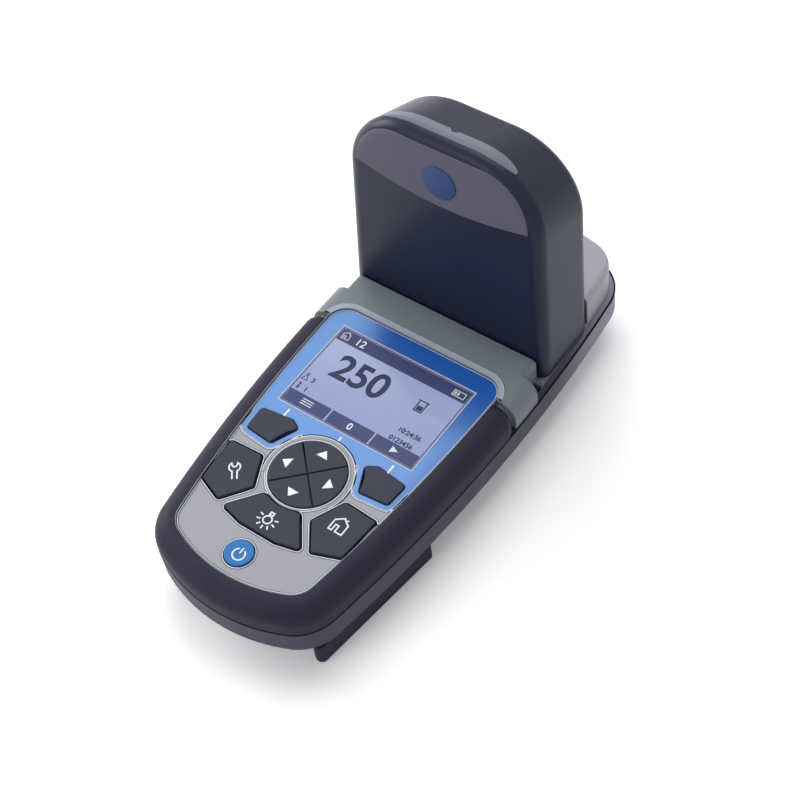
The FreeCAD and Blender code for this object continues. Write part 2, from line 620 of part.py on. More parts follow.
# rubber bumper
skin = common("BumperSkin", fillet("BumperOut", outline("BumperO", "0", RIM, DECK), "bumper_round",
                                   level(num(DECK))),
              span("BumperS", "0", "bumper_end_at", RIM, DECK))
skin_round = fillet("BumperEnds", skin, "bumper_end_round",
                    lambda e: abs(e.BoundBox.YMin - num("bumper_end_at - body_len / 2")) < NEAR
                    and abs(e.BoundBox.YMax - num("bumper_end_at - body_len / 2")) < NEAR
                    and e.BoundBox.ZLength > 0.5 and e.BoundBox.XLength < 12)
bumper = cut("bumper", skin_round,
             chamfer("BumperInB", outline("BumperIn", "bumper_skin", "parting_height - 1", SHELF),
                     "bumper_bevel", level(num(SHELF))),
             outline("BumperWin", "bumper_lip", RIM, "deck_height + 1"))

# label, panel, display
film_all = recess("FilmAll", "seat_gap", BED, "film")
pad_hole = cyl("PanelPad", "0", "pad_at", "0", PAD_GAP, "60")
film_cut = cut("FilmCut", film_all, all_holes, pad_hole)
panel_zone = fuse("PanelZone", span("PanelS", "split_at", "body_len", "0", "60"),
                  swept("PanelLeft", key_lines["soft_key_left"], "key_corner + split_margin", "0", "60"),
                  swept("PanelRight", key_lines["soft_key_right"], "key_corner + split_margin", "0", "60"))
keypad_label = cut("keypad_label", film_cut, panel_zone)
glass_way = box("GlassWay", "0", "lcd_at - lcd_len / 2 - seat_gap", "0", "lcd_width + 2 * seat_gap",
                "lcd_len + 2 * seat_gap", "60")
display_panel = cut("display_panel", common("PanelRaw", film_cut, panel_zone), glass_way)
GLASS_Z = "deck_height - recess_depth + film - glass_thick"
lcd_glass = box("lcd_glass", "0", "lcd_at - lcd_len / 2", GLASS_Z, "lcd_width", "lcd_len", "glass_thick")
BOARD_TOP = ("deck_height - deck_thick - 2 * key_play - flange_thick - key_travel - key_free"
             " - dome_thick")
lcd_module = box("lcd_module", "0", "lcd_at - lcd_len / 2 + 0.3", BOARD_TOP, "lcd_width - 0.6",
                 "lcd_len - 0.6", "%s - (%s) - 0.1" % (GLASS_Z, BOARD_TOP))
board_raw = common("BoardRaw", box("BoardBox", "0", "board_start_at", "%s - board_thick" % BOARD_TOP,
                                   "board_width", "board_end_at - board_start_at", "board_thick"),
                   outline("BoardO", "bumper_lip + wall + 0.4", "0", "60"))
main_board = cut("main_board", board_raw, fuse("BoardClear", *post_clear))
spots = (("-soft_x", "soft_at"), ("soft_x", "soft_at"), ("-side_key_x", "side_key_at"),
         ("side_key_x", "side_key_at"), ("0", "light_at"), ("0", "power_at"),
         ("0", "pad_at + pad_radius * 0.6"), ("0", "pad_at - pad_radius * 0.6"),
         ("pad_radius * 0.6", "pad_at"), ("-pad_radius * 0.6", "pad_at"))
dome_switches = fuse("dome_switches", *[cyl("Dome%d" % i, x, y, BOARD_TOP, "dome_radius", "dome_thick")
                                        for i, (x, y) in enumerate(spots)])

# cell holder and optics
HOLD_Z = "(foot_height + pocket_floor)"
BEAM_Z = "(holder_top - bore_depth + beam_height)"
holder_block = fillet("HolderBlock", box("HolderRaw", "0", BORE_AT + " - holder_depth / 2", HOLD_Z,
                                         "holder_width", "holder_depth", "holder_top - " + HOLD_Z),
                      "2", upright)
bore = cyl("Bore", "0", BORE_AT, "holder_top - bore_depth", "bore_radius", "bore_depth + 1")
bore_mouth = doc.addObject("Part::Cone", "BoreMouth")
bind(bore_mouth, Radius1="bore_radius", Radius2="bore_radius + mouth_bevel", Height="mouth_bevel")
place(bore_mouth, "0", BORE_AT + " - body_len / 2", "holder_top - mouth_bevel")
beam = rod("Beam", "-holder_width / 2 - 1", BORE_AT, BEAM_Z, "window_radius", "holder_width + 2", "x")
cell_holder = cut("cell_holder", holder_block, fuse("HolderWays", bore, bore_mouth, beam))
windows = [rod("WindowL", "-holder_width / 2 + 0.4", BORE_AT, BEAM_Z, "window_radius", "window_thick", "x"),
           rod("WindowR", "holder_width / 2 - 0.4 - window_thick", BORE_AT, BEAM_Z, "window_radius",
               "window_thick", "x")]
optic_windows = fuse("optic_windows", *windows)
led_board = box("led_board", "-holder_width / 2 - board_thick / 2", BORE_AT + " - optic_board / 2",
                HOLD_Z, "board_thick", "optic_board", "optic_board")
detector_board = box("detector_board", "holder_width / 2 + board_thick / 2",
                     BORE_AT + " - optic_board / 2", HOLD_Z, "board_thick", "optic_board", "optic_board")

# cap
CAP_Z = "parting_height + slot_floor + 0.3"


def arch(label, inset, drop, edge):
    """Drafted, leaning arch standing on its open rim; inset draws every side in."""
    body = doc.addObject("PartDesign::Body", label + "Body")
    sk = body.newObject("Sketcher::SketchObject", label + "Front")
    plane = [f for f in body.Origin.OriginFeatures if f.Role == "XZ_Plane"][0]
    sk.AttachmentSupport = [(plane, "")]
    sk.MapMode = "FlatFace"
    w = num("cap_width / 2 - (%s)" % inset)
    sill = "%s - (%s) - 1" % (CAP_Z, drop)
    z0 = num(sill)
    crest = "cap_top - (%s) * (1 + cap_fall / cap_depth)" % inset
    z1 = num(crest)
    r = num("cap_shoulder - (%s)" % inset)
    d = math.radians(num("cap_draft"))
    xc = w - (z1 - r - z0) * math.tan(d) - r / math.cos(d)
    zc = z1 - r
    pr = FreeCAD.Vector(xc + r * math.cos(d), zc + r * math.sin(d), 0)
    pl = FreeCAD.Vector(-pr.x, pr.y, 0)
    V = FreeCAD.Vector
    up = V(0, 0, 1)
    sk.addGeometry(Part.LineSegment(V(w, z0, 0), pr), False)
    sk.addGeometry(Part.ArcOfCircle(Part.Circle(V(xc, zc, 0), up, r), d, math.pi / 2), False)
    sk.addGeometry(Part.LineSegment(V(xc, z1, 0), V(-xc, z1, 0)), False)
    sk.addGeometry(Part.ArcOfCircle(Part.Circle(V(-xc, zc, 0), up, r), math.pi / 2, math.pi - d), False)
    sk.addGeometry(Part.LineSegment(pl, V(-w, z0, 0)), False)
    sk.addGeometry(Part.LineSegment(V(-w, z0, 0), V(w, z0, 0)), False)
    C = Sketcher.Constraint
    sk.addConstraint([C("Tangent", 0, 2, 1, 1), C("Tangent", 1, 2, 2, 1), C("Tangent", 2, 2, 3, 1),
                      C("Tangent", 3, 2, 4, 1), C("Coincident", 4, 2, 5, 1), C("Coincident", 5, 2, 0, 1),
                      C("Symmetric", 5, 1, 5, 2, -2), C("Symmetric", 2, 1, 2, 2, -2),
                      C("Equal", 1, 3)])
    for c, text in ((C("DistanceX", 5, 1, 5, 2, 2 * w), "cap_width - 2 * (%s)" % inset),
                    (C("DistanceY", -1, 1, 5, 1, z0), sill),
                    (C("DistanceY", -1, 1, 2, 1, z1), crest),
                    (C("Radius", 1, r), "cap_shoulder - (%s)" % inset)):
        i = sk.addConstraint(c)
        sk.setExpression("Constraints[%d]" % i, bound(text))
    i = sk.addConstraint(C("Angle", 0, math.pi / 2 + d))
    sk.setExpression("Constraints[%d]" % i, bound("90 + cap_draft"))
    pad = body.newObject("PartDesign::Pad", label + "Pad")
    pad.Profile = sk
    pad.UseCustomVector = True
    pad.Direction = V(0, 1, -num("cap_fall / cap_depth"))
    bind(pad, Length="cap_depth + cap_reach")
    place(body, "0", "slot_at + cap_clear - body_len / 2 + (%s) - 1" % inset, "0")
    doc.recompute()

    # side view: both faces lean back
    flank = doc.addObject("Sketcher::SketchObject", label + "Flank")
    lean = math.tan(math.radians(num("cap_lean")))
    z_low = num("%s - (%s)" % (CAP_Z, drop))
    n = num(inset)
    yf = num("slot_at + cap_clear - body_len / 2")
    base = num(CAP_Z)
    far = num("cap_depth")
    high = num("cap_top + 5")
    pts = [(n - lean * (base - z_low), z_low), (n + lean * (high - base), high),
           (far - n + lean * (high - base), high), (far - n - lean * (base - z_low), z_low)]
    pts = [V(yf + a, b, 0) for a, b in pts]
    for a, b in zip(pts, pts[1:] + pts[:1]):
        flank.addGeometry(Part.LineSegment(a, b), False)
    for k in range(len(pts)):
        flank.addConstraint(C("Coincident", k, 2, (k + 1) % len(pts), 1))
    flank.Placement.Rotation = FreeCAD.Rotation(V(1, 1, 1), 120)
    slab = doc.addObject("Part::Extrusion", label + "Slab")
    slab.Base = flank
    slab.DirMode = "Custom"
    slab.Dir = V(1, 0, 0)
    slab.Solid = True
    slab.Symmetric = True
    bind(slab, LengthFwd="cap_width + 10")
    form = common(label + "Form", body, slab)
    doc.recompute()
    bottom = form.Shape.BoundBox.ZMin

    def rounded(e):
        b = e.BoundBox
        if b.ZMax < bottom + 10 * NEAR:
            return False
        return any(all(abs(v.Point.y - (yf + off + lean * (v.Point.z - base))) < NEAR for v in e.Vertexes)
                   for off in (n, far - n))

    obj = doc.addObject("Part::" + edge, label)
    obj.Base = form
    rr = num("cap_round - (%s)" % inset)
    picked = []
    for k, e in enumerate(form.Shape.Edges):
        if rounded(e):
            picked.append((k + 1, rr, rr))
    obj.Edges = picked
    doc.recompute()
    return obj


cap_outer = arch("CapOuter", "0", "0", "Fillet")
cap_inner = arch("CapInner", "cap_wall", "5", "Chamfer")
badge_y = "slot_at + cap_clear"
badge = rod("BadgeRod", "0", badge_y, "badge_height", "badge_radius", "20", "y")
cap_shell = cut("cap_shell", cap_outer, cap_inner)
LEAN = math.tan(math.radians(num("cap_lean")))
disc = doc.addObject("Part::Cylinder", "cap_badge")
bind(disc, Radius="badge_radius", Height="badge_thick")
disc.Placement.Rotation = FreeCAD.Rotation(FreeCAD.Vector(1, 0, 0), 90 - num("cap_lean"))
reach_ = num("badge_height - (%s)" % CAP_Z)
place(disc, "0", "slot_at + cap_clear - body_len / 2 + %.6f" % (LEAN * reach_), "badge_height")
cap_badge = disc
NODES = [lower_casing, upper_casing, bumper, casing_gasket, casing_screws, keypad_label, display_panel,
         lcd_glass, lcd_module, main_board, dome_switches, cell_holder, optic_windows, led_board,
         detector_board, battery_cells, battery_contacts, battery_door, door_gasket, door_screws,
         foot_rails, rear_feet, cap_shell, cap_badge] + key_nodes

doc.recompute()
bad = []
for obj in doc.Objects:
    if "Invalid" in obj.State or "Error" in obj.State:
        bad.append(obj.Name + " " + str(obj.State))
for obj in NODES:
    obj.Label = obj.Name
    if obj.Shape.isNull() or not obj.Shape.isValid() or not obj.Shape.Solids:
        bad.append(obj.Name + " has no sound shape")
if bad:
    raise RuntimeError("; ".join(bad))
os.makedirs("parts", exist_ok=True)
for obj in NODES:
    obj.Shape.exportStep("parts/%s.step" % obj.Name)
    print(obj.Name, len(obj.Shape.Solids), round(obj.Shape.Volume, 1))
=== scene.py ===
import json
import math

import bpy
import bmesh
from mathutils import Matrix, Vector
from mathutils.bvhtree import BVHTree


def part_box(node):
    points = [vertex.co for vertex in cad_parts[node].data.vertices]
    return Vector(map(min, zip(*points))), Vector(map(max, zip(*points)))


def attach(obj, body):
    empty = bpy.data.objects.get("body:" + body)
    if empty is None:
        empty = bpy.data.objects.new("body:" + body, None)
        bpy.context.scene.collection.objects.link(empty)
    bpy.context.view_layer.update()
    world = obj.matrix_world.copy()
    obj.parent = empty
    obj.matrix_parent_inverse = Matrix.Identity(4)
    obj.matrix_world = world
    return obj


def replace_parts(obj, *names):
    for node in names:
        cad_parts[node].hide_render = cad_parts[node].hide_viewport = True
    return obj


# Looks of the water analyzer, in the frame's own axes: x to the user's right, y away from the
# user, z up. Blender works in metres; a length in millimetres is turned into metres by MM.

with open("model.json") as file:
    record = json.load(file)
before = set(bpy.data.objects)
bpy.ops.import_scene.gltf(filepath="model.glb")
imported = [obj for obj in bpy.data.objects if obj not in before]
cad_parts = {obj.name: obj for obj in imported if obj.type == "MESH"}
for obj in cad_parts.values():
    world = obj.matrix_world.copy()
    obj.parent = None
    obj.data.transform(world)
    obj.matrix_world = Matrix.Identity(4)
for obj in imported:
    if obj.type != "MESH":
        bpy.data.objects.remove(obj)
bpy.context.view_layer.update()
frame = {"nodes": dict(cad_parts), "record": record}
MM = 0.001


# Camera, at the photograph's viewing angle
EYE = Vector((271.36, -285.67, 544.79)) * MM
RIGHT = Vector((0.8062015, 0.58453028, -0.09145212))
DOWN = Vector((0.42399458, -0.67861971, -0.59975319))
FOCAL, SENSOR = 75.72, 36.0

camera_data = bpy.data.cameras.new("camera")
camera_data.lens = FOCAL
camera_data.sensor_width = SENSOR
camera = bpy.data.objects.new("camera", camera_data)
bpy.context.scene.collection.objects.link(camera)
axes = Matrix((RIGHT, -DOWN, RIGHT.cross(-DOWN))).transposed()
camera.matrix_world = Matrix.Translation(EYE) @ axes.to_4x4()
bpy.context.scene.camera = camera
bpy.context.scene.view_settings.view_transform = "Standard"


# Helpers for colours and nodes
def srgb(red, green, blue):
    """Screen colour 0 to 255 as a linear one."""
    def linear(v):
        v = v / 255
        return v / 12.92 if v <= 0.04045 else ((v + 0.055) / 1.055) ** 2.4
    return (linear(red), linear(green), linear(blue), 1.0)


def math_node(tree, kind, *values):
    node = tree.nodes.new("ShaderNodeMath")
    node.operation = kind
    for socket, value in zip(node.inputs, values):
        if isinstance(value, (int, float)):
            socket.default_value = value
        else:
            tree.links.new(value, socket)
    return node.outputs[0]


def watched(tree):
    """1 where a thing is seen directly, in a reflection or through glass, and 0 for its light."""
    path = tree.nodes.new("ShaderNodeLightPath")
    seen = path.outputs["Is Camera Ray"]
    for kind in ("Is Glossy Ray", "Is Transmission Ray"):
        seen = math_node(tree, "MAXIMUM", seen, path.outputs[kind])
    return seen


# Light: soft boxes, in metres and watts, and a plain pale room that is seen as white
def soft_box(name, at, aim, size, watts):
    data = bpy.data.lights.new(name, "AREA")
    data.shape = "RECTANGLE"
    data.size, data.size_y = size
    data.energy = watts
    lamp = bpy.data.objects.new(name, data)
    lamp.location = at
    lamp.rotation_euler = (Vector(aim) - Vector(at)).to_track_quat("-Z", "Y").to_euler()
    bpy.context.scene.collection.objects.link(lamp)


soft_box("top_box", at=(-0.18, 0.42, 1.20), aim=(0, 0, 0.03), size=(0.95, 0.95), watts=10.5)
soft_box("left_box", at=(-1.00, -0.05, 0.42), aim=(0, 0.02, 0.06), size=(0.60, 0.50), watts=6.5)
soft_box("front_box", at=(-0.25, -0.95, 0.60), aim=(0, -0.05, 0.02), size=(0.80, 0.50), watts=3.0)

ROOM = 0.40
world = bpy.data.worlds.new("room")
bpy.context.scene.world = world
world.use_nodes = True
room = world.node_tree
room.nodes.clear()
blend = room.nodes.new("ShaderNodeMixShader")
room.links.new(watched(room), blend.inputs["Fac"])
for socket, colour, strength in ((1, (0.97, 0.98, 1.0, 1), ROOM), (2, (1, 1, 1, 1), 1.0)):
    glow = room.nodes.new("ShaderNodeBackground")
    glow.inputs["Color"].default_value = colour
    glow.inputs["Strength"].default_value = strength
    room.links.new(glow.outputs[0], blend.inputs[socket])
room.links.new(blend.outputs[0], room.nodes.new("ShaderNodeOutputWorld").inputs["Surface"])


# Shared effects
def group(name, inputs, outputs):
    tree = bpy.data.node_groups.new(name, "ShaderNodeTree")
    for label, kind, value in inputs:
        tree.interface.new_socket(label, in_out="INPUT", socket_type=kind).default_value = value
    for label, kind in outputs:
        tree.interface.new_socket(label, in_out="OUTPUT", socket_type=kind)
    return tree, tree.nodes.new("NodeGroupInput"), tree.nodes.new("NodeGroupOutput")


def grain_group():
    """Moulded grain: fine pits, and slow drift of tone over the surface."""
    tree, g_in, g_out = group("moulded_grain",
                              [("Grains per metre", "NodeSocketFloat", 2500.0),
                               ("Drift per metre", "NodeSocketFloat", 25.0)],
                              [("Height", "NodeSocketFloat"), ("Speckle", "NodeSocketFloat"),
                               ("Drift", "NodeSocketFloat")])
    place = tree.nodes.new("ShaderNodeTexCoord")
    pits = tree.nodes.new("ShaderNodeTexNoise")
    pits.inputs["Detail"].default_value = 3.0
    pits.inputs["Roughness"].default_value = 0.6
    drift = tree.nodes.new("ShaderNodeTexNoise")
    drift.inputs["Detail"].default_value = 2.0
    for node, rate in ((pits, "Grains per metre"), (drift, "Drift per metre")):
        tree.links.new(place.outputs["Object"], node.inputs["Vector"])
        tree.links.new(g_in.outputs[rate], node.inputs["Scale"])
    for node, result in ((pits, "Height"), (pits, "Speckle"), (drift, "Drift")):
        tree.links.new(node.outputs["Fac"], g_out.inputs[result])
    return tree


def edge_wear_and_sheen_group():
    """Edges a little smoother and paler: partly wear, partly a painted highlight along them."""
    tree, g_in, g_out = group("edge_wear_and_sheen",
                              [("Reach", "NodeSocketFloat", 0.0006), ("Start", "NodeSocketFloat", 0.03),
                               ("Steepness", "NodeSocketFloat", 6.0)],
                              [("Mask", "NodeSocketFloat"), ("Normal", "NodeSocketVector")])
    soft = tree.nodes.new("ShaderNodeBevel")
    soft.samples = 6
    tree.links.new(g_in.outputs["Reach"], soft.inputs["Radius"])
    shape = tree.nodes.new("ShaderNodeNewGeometry")
    dot = tree.nodes.new("ShaderNodeVectorMath")
    dot.operation = "DOT_PRODUCT"
    tree.links.new(soft.outputs[0], dot.inputs[0])
    tree.links.new(shape.outputs["Normal"], dot.inputs[1])
    turn = math_node(tree, "SUBTRACT", 1.0, dot.outputs["Value"])
    past = math_node(tree, "SUBTRACT", turn, g_in.outputs["Start"])
    mask = math_node(tree, "MULTIPLY", past, g_in.outputs["Steepness"])
    mask.node.use_clamp = True
    tree.links.new(mask, g_out.inputs["Mask"])
    tree.links.new(soft.outputs[0], g_out.inputs["Normal"])
    return tree


GRAIN = grain_group()
WEAR_AND_SHEEN = edge_wear_and_sheen_group()


class Finish:
    """One material: a Principled shader with grain, drift of tone, and edges paler from wear and from a
    painted highlight.
    """

    UNEVEN = 0.12      # how far the roughness drifts over a surface
    WORN_AND_LIT_PALER = 1.5   # tone of an edge against the face, paler from wear and from a painted highlight

    def __init__(self, name, colour, rough=0.5, grain=2500.0, depth=0.02, speckle=0.10, drift=0.08,
                 wear_and_sheen=0.25, reach=0.0006, metal=0.0, coat=0.0, coat_rough=0.1, specular=0.5):
        self.material = bpy.data.materials.new(name)
        self.material.use_nodes = True
        self.tree = self.material.node_tree
        self.tree.nodes.clear()
        self.out = self.node("OutputMaterial")
        self.shader = self.node("BsdfPrincipled")
        self.link(self.shader.outputs[0], self.out.inputs["Surface"])
        for socket, value in (("Metallic", metal), ("Coat Weight", coat), ("Coat Roughness", coat_rough),
                              ("Specular IOR Level", specular)):
            self.shader.inputs[socket].default_value = value
        grains = self.node("Group")
        grains.node_tree = GRAIN
        grains.inputs["Grains per metre"].default_value = grain
        edges = self.node("Group")
        edges.node_tree = WEAR_AND_SHEEN
        edges.inputs["Reach"].default_value = reach
        tone = self.colour(colour)
        for effect, much in (("Speckle", speckle), ("Drift", drift)):
            tone = self.mixed(tone, self.scaled(tone, 1 - much), grains.outputs[effect])
        worn_and_lit = math_node(self.tree, "MULTIPLY", edges.outputs["Mask"], wear_and_sheen)
        tone = self.mixed(tone, self.scaled(tone, self.WORN_AND_LIT_PALER), worn_and_lit)
        self.link(tone, self.shader.inputs["Base Color"])
        uneven = math_node(self.tree, "MULTIPLY_ADD", grains.outputs["Drift"], self.UNEVEN,
                           rough - self.UNEVEN / 2)
        self.link(uneven, self.shader.inputs["Roughness"])
        bump = self.node("Bump")
        bump.inputs["Strength"].default_value = 1.0
        bump.inputs["Distance"].default_value = depth * MM
        self.link(grains.outputs["Height"], bump.inputs["Height"])
        self.link(edges.outputs["Normal"], bump.inputs["Normal"])
        self.link(bump.outputs[0], self.shader.inputs["Normal"])

    def node(self, kind):
        return self.tree.nodes.new("ShaderNode" + kind)

    def link(self, a, b):
        self.tree.links.new(a, b)

    def colour(self, value):
        """Output of a plain colour, or of the tone that a function makes for this finish."""
        if not isinstance(value, tuple):
            return value(self)
        node = self.node("RGB")
        node.outputs[0].default_value = value
        return node.outputs[0]

    def scaled(self, colour, factor):
        node = self.node("VectorMath")
        node.operation = "SCALE"
        node.inputs["Scale"].default_value = factor
        self.link(colour, node.inputs[0])
        return node.outputs[0]

    def mixed(self, a, b, factor):
        node = self.node("Mix")
        node.data_type = "RGBA"
        for value, socket in ((a, node.inputs[6]), (b, node.inputs[7]), (factor, node.inputs[0])):
            if isinstance(value, tuple):
                socket.default_value = value
            else:
                self.link(value, socket)
        return node.outputs[2]

    def along(self, axis, low, high):
        """Smooth step from 0 at low to 1 at high, in millimetres along x, y or z."""
        place = self.node("TexCoord")
        split = self.node("SeparateXYZ")
        self.link(place.outputs["Object"], split.inputs[0])
        step = self.node("MapRange")
        step.interpolation_type = "SMOOTHSTEP"
        step.inputs["From Min"].default_value = low * MM
        step.inputs["From Max"].default_value = high * MM
        self.link(split.outputs["xyz".index(axis)], step.inputs["Value"])
        return step.outputs[0]


# Finishes of the casing
def upper_tone_painted_rear_light(finish):
    """Grey-green of the upper casing, with painted light: paler and cooler on the rear block, where the one
    plastic takes more light.
    """
    return finish.mixed(srgb(116, 124, 131), srgb(166, 166, 173), finish.along("y", 50, 82))


def lower_tone_painted_rear_light(finish):
    """Dark violet grey of the lower casing, with painted light: paler towards the rear, where more light
    falls on it.
    """
    return finish.mixed(srgb(68, 65, 82), srgb(146, 142, 156), finish.along("y", 35, 90))


lower_shell = Finish("lower_shell", lower_tone_painted_rear_light, rough=0.5, grain=1800, depth=0.03, wear_and_sheen=0.15, specular=0.2)
upper_shell = Finish("upper_shell", upper_tone_painted_rear_light, rough=0.45, grain=1600, depth=0.03, speckle=0.14,
                     wear_and_sheen=0.35, specular=0.35)
bezel_shell = Finish("bezel_shell", srgb(160, 168, 180), rough=0.42, grain=1600, depth=0.02, speckle=0.12,
                     wear_and_sheen=0.4, specular=0.35)
bumper_rubber = Finish("bumper_rubber", srgb(42, 40, 58), rough=0.55, grain=2200, depth=0.02, wear_and_sheen=0.12,
                       reach=0.001, specular=0.14)
seal_rubber = Finish("seal_rubber", srgb(16, 16, 22), rough=0.7, grain=2500, depth=0.02, specular=0.1)
key_rubber = Finish("key_rubber", srgb(60, 62, 76), rough=0.6, grain=2600, depth=0.02, speckle=0.2,
                    wear_and_sheen=0.3, reach=0.0004, specular=0.15)
power_rubber = Finish("power_rubber", srgb(36, 112, 182), rough=0.45, grain=2600, depth=0.015,
                      wear_and_sheen=0.2, reach=0.0004, specular=0.25)
label_film = Finish("label_film", srgb(157, 157, 163), rough=0.5, grain=3000, depth=0.004,
                    speckle=0.08, drift=0.05, wear_and_sheen=0.0, specular=0.25)


# Printing inks
def printed(name, colour, rough=0.45, speckle=0.05, drift=0.03, specular=0.2):
    """Ink: nearly flat, with no paler edge."""
    return Finish(name, colour, rough=rough, depth=0.002, speckle=speckle, drift=drift, wear_and_sheen=0.0,
                  specular=specular)


printed_white = printed("printed_white", srgb(240, 242, 247), rough=0.5, speckle=0.03, drift=0.02)
printed_pale = printed("printed_pale", srgb(212, 216, 226))
printed_navy = printed("printed_navy", srgb(50, 58, 104), rough=0.4, speckle=0.08, drift=0.05, specular=0.25)
printed_ink = printed("printed_ink", srgb(38, 46, 80))
# Dark blue film that is a painted shadow on the panel beside the pad ring
painted_shadow = printed("painted_shadow", srgb(14, 44, 92), rough=0.5)


# Finishes of the panel and its display
def panel_blue(finish):
    """Deep blue along the top and right of the panel, sky blue to the left and below."""
    deep = math_node(finish.tree, "MULTIPLY", finish.along("y", -30, 17), finish.along("x", -29, -10))
    rim = math_node(finish.tree, "MULTIPLY", finish.along("x", 29, 38), 0.45)
    depth = math_node(finish.tree, "MAXIMUM", deep, rim)
    return finish.mixed(srgb(88, 138, 202), srgb(8, 80, 162), depth)


def lit_display(finish):
    """Lavender ground of the lit display, a little deeper towards its lower middle."""
    return finish.mixed(srgb(126, 137, 183), srgb(150, 162, 199), finish.along("y", -22, 12))


panel_film = Finish("panel_film", panel_blue, rough=0.35, grain=3000, depth=0.003, speckle=0.05,
                    drift=0.04, wear_and_sheen=0.0, coat=0.1, specular=0.3)
display_glass = Finish("display_glass", lit_display, rough=0.3, grain=4000, depth=0.001,
                       speckle=0.03, drift=0.03, wear_and_sheen=0.0, coat=0.15, coat_rough=0.05, specular=0.3)


# Finishes of the cap: smooth navy, a little paler higher up as painted light, a grained field on the upper
# front, and a strip on top made pale by a painted highlight
# One navy plastic, paler towards the top as painted light from above
def cap_navy_painted_top_light(finish):
    return finish.mixed(srgb(31, 36, 60), srgb(38, 39, 60), finish.along("z", 60, 120))


def strip_tone_painted_highlight(finish):
    """Painted highlight: paler towards the rear edge of the strip, as a thin highlight line."""
    return finish.mixed(srgb(84, 87, 104), srgb(116, 121, 135), finish.along("y", 48, 53))


cap_plastic = Finish("cap_plastic", cap_navy_painted_top_light, rough=0.32, grain=1500, depth=0.008, speckle=0.12,
                     drift=0.1, wear_and_sheen=0.10, specular=0.17)
cap_grained = Finish("cap_grained", srgb(106, 104, 122), rough=0.65, grain=2200, depth=0.12, speckle=0.45,
                     drift=0.08, wear_and_sheen=0.3, specular=0.2)
cap_strip_painted_highlight = Finish("cap_strip_painted_highlight", strip_tone_painted_highlight, rough=0.4, grain=1500, depth=0.01, speckle=0.1,
                   wear_and_sheen=0.5, specular=0.3)
badge_blue = Finish("badge_blue", srgb(34, 66, 128), rough=0.35, grain=1200, depth=0.03, speckle=0.25,
                    drift=0.3, wear_and_sheen=0.2, specular=0.3)

# Finishes of the inside
circuit_green = Finish("circuit_green", srgb(30, 96, 58), rough=0.4, grain=900, depth=0.01,
                       speckle=0.3, wear_and_sheen=0.1, coat=0.3)
black_plastic = Finish("black_plastic", srgb(34, 34, 36), rough=0.6, grain=1800, depth=0.02)
plated_metal = Finish("plated_metal", srgb(196, 196, 192), rough=0.3, grain=900, depth=0.005,
                      metal=1.0, wear_and_sheen=0.1)
cell_sleeve = Finish("cell_sleeve", srgb(70, 76, 84), rough=0.3, grain=600, depth=0.004, coat=0.4)
clear_window = Finish("clear_window", srgb(226, 236, 240), rough=0.05, grain=600, depth=0.0005,
                      speckle=0.02, drift=0.02, wear_and_sheen=0.0)
clear_window.shader.inputs["Transmission Weight"].default_value = 0.9

FINISHES = {
    "lower_shell": lower_shell, "upper_shell": upper_shell, "bumper_rubber": bumper_rubber,
    "seal_rubber": seal_rubber, "screw_steel": plated_metal, "label_film": label_film,
    "panel_film": panel_film, "display_glass": display_glass, "module_case": black_plastic,
    "board": circuit_green, "dome_metal": plated_metal, "holder_black": black_plastic,
    "optic_glass": clear_window, "cell_wrap": cell_sleeve, "contact_metal": plated_metal,
    "key_rubber": key_rubber, "power_rubber": power_rubber, "cap_plastic": cap_plastic,
    "badge_blue": badge_blue,
}
for row in frame["record"]["subparts"]:
    mesh = frame["nodes"][row["node"]].data
    mesh.materials.clear()
    mesh.materials.append(FINISHES[row["material_slot"]].material)


# Floor, a little lighter to the eye than its light makes it
FLOOR_HALF, FLOOR_LIFT = 6.0, 0.15
floor_paint = Finish("bench_top", (0.98, 0.98, 0.98, 1.0), rough=0.85, depth=0.0, speckle=0.0, drift=0.0,
                     wear_and_sheen=0.0, specular=0.0)
pale = floor_paint.node("Emission")
lift = math_node(floor_paint.tree, "MULTIPLY", watched(floor_paint.tree), FLOOR_LIFT)
floor_paint.link(lift, pale.inputs["Strength"])
both = floor_paint.node("AddShader")
floor_paint.link(floor_paint.shader.outputs[0], both.inputs[0])
floor_paint.link(pale.outputs[0], both.inputs[1])
floor_paint.link(both.outputs[0], floor_paint.out.inputs["Surface"])
corners = [(sx * FLOOR_HALF, sy * FLOOR_HALF, 0) for sx, sy in ((-1, -1), (1, -1), (1, 1), (-1, 1))]
floor_mesh = bpy.data.meshes.new("bench_top")
floor_mesh.from_pydata(corners, [], [(0, 1, 2, 3)])
floor_mesh.materials.append(floor_paint.material)
floor = bpy.data.objects.new("bench_top", floor_mesh)
bpy.context.scene.collection.objects.link(floor)


# How pieces are made: outlines and points are in millimetres
FILM = 0.05           # thickness of one printed layer
MITRE = 0.8           # least cosine at an offset corner, so that no corner runs out to a spike
INK_MITRE = 0.6       # the same for drawn lines
LEAST_STEP = 0.25     # closer points of an outline are left out before it is offset
LEVEL, NEAR = 0.99, 0.02    # a top face's least upward slope, and how near it is to its height


def settle(name, mesh, finish, slot, body):
    """Piece from a mesh, with its finish, riding on a body; the slot argument is not used."""
    mesh.materials.append(finish.material)
    piece = bpy.data.objects.new(name, mesh)
    bpy.context.scene.collection.objects.link(piece)
    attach(piece, body)
    return piece


def drawn_mesh(name, curve, x, y, z):
    """Mesh of a flat curve, moved to a place in metres."""
    drawn = bpy.data.objects.new(name + "_drawn", curve)
    bpy.context.scene.collection.objects.link(drawn)
    bpy.context.view_layer.update()
    mesh = bpy.data.meshes.new_from_object(drawn.evaluated_get(bpy.context.evaluated_depsgraph_get()))
    bpy.data.objects.remove(drawn)
    mesh.name = name
    mesh.transform(Matrix.Translation((x, y, z)))
    mesh.materials.clear()
    return mesh


